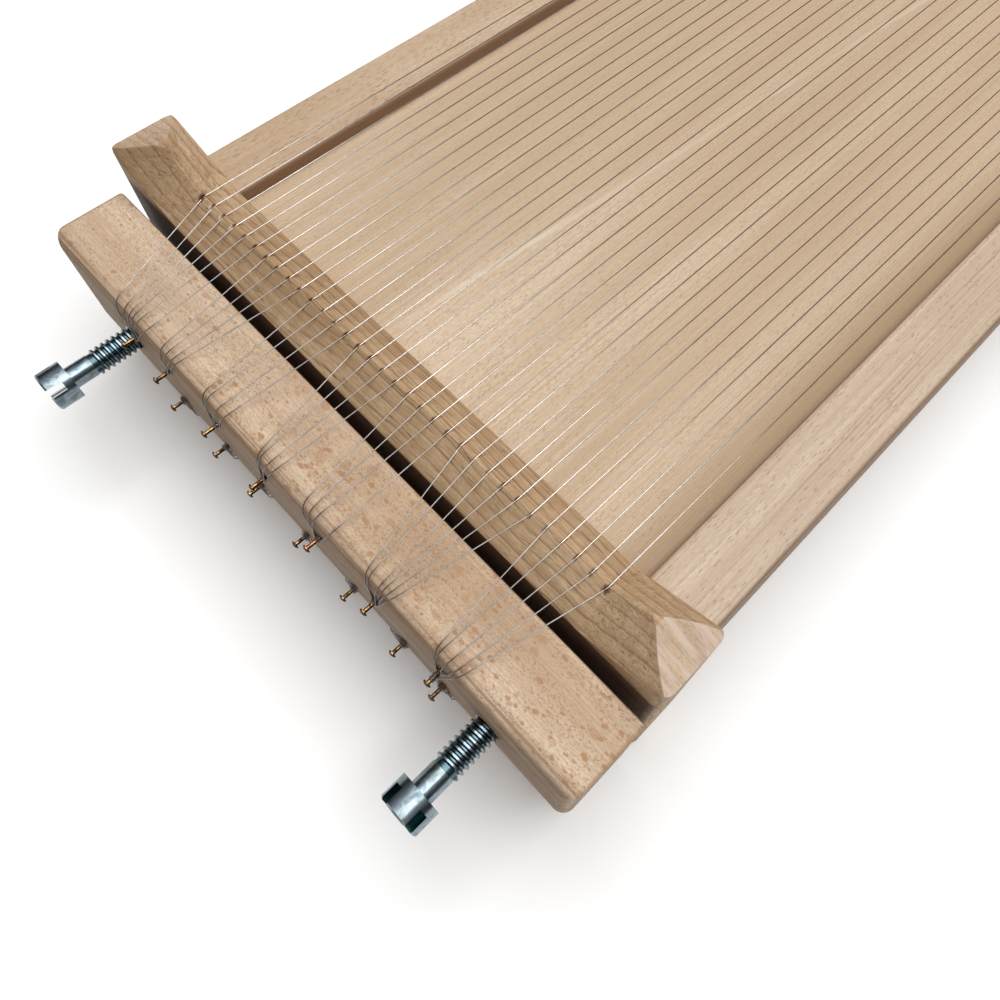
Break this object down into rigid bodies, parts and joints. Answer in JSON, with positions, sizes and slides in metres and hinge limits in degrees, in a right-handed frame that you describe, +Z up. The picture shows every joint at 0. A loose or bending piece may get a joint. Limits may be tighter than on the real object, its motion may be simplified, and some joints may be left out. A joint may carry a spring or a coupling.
{
  "type": "wire pasta cutter frame",
  "caption": "Wooden frame strung with parallel steel wires on both faces, with a screw-adjusted tension bar, for cutting rolled dough into strips.",
  "frame": {"origin": "on the table under the middle of the whole object", "axes": "+X across the wires to the right, +Y along the wires away from the tension bar, +Z up"},
  "size_m": [0.2206, 0.481, 0.075],
  "materials": {
    "ridge_beech": "planed beech, darker and strongly grained, unvarnished",
    "rail_beech": "sanded beech, unvarnished, fine dark pores",
    "board_beech": "sanded beech board, fine straight grain",
    "tension_beech": "sanded quarter-sawn beech with ray flecks",
    "dowel_beech": "plain beech dowel",
    "zinc_steel": "bright zinc plated steel, slightly blue",
    "brass": "brass nail, tarnished brown",
    "steel_wire": "drawn stainless steel wire"
  },
  "bodies": {
    "frame": {"near_ridge_bar": "ridge_beech", "far_ridge_bar": "ridge_beech", "left_rail": "rail_beech", "right_rail": "rail_beech", "center_board": "board_beech", "corner_dowels": "dowel_beech", "upper_far_nails": "brass", "lower_far_nails": "brass", "top_wires_1": "steel_wire", "top_wires_2": "steel_wire", "top_wires_3": "steel_wire", "top_wires_4": "steel_wire", "top_wires_5": "steel_wire", "top_wires_6": "steel_wire", "top_wires_7": "steel_wire", "bottom_wires_1": "steel_wire", "bottom_wires_2": "steel_wire", "bottom_wires_3": "steel_wire", "bottom_wires_4": "steel_wire", "bottom_wires_5": "steel_wire", "bottom_wires_6": "steel_wire", "bottom_wires_7": "steel_wire"},
    "tension_bar": {"tension_bar": "tension_beech", "upper_near_nails": "brass", "lower_near_nails": "brass"},
    "left_screw": {"left_tension_screw": "zinc_steel"},
    "right_screw": {"right_tension_screw": "zinc_steel"}
  },
  "joints": [
    {"name": "tension_bar_slide", "type": "slide", "parent": "frame", "child": "tension_bar", "axis": [0, -1, 0], "range_m": [-0.002, 0.004], "deforming": ["top_wires_1", "top_wires_2", "top_wires_3", "top_wires_4", "top_wires_5", "top_wires_6", "top_wires_7", "bottom_wires_1", "bottom_wires_2", "bottom_wires_3", "bottom_wires_4", "bottom_wires_5", "bottom_wires_6", "bottom_wires_7"]},
    {"name": "left_screw_turn", "type": "hinge", "parent": "frame", "child": "left_screw", "pos_m": [-0.075, -0.2, 0.0375], "axis": [0, 1, 0], "range_deg": [-413, 825]},
    {"name": "right_screw_turn", "type": "hinge", "parent": "frame", "child": "right_screw", "pos_m": [0.079, -0.2, 0.0375], "axis": [0, 1, 0], "range_deg": [-413, 825]}
  ],
  "couplings": [
    {"joint": "left_screw_turn", "follows": "tension_bar_slide", "rad_per_m": 3590.4},
    {"joint": "right_screw_turn", "follows": "tension_bar_slide", "rad_per_m": 3590.4}
  ]
}
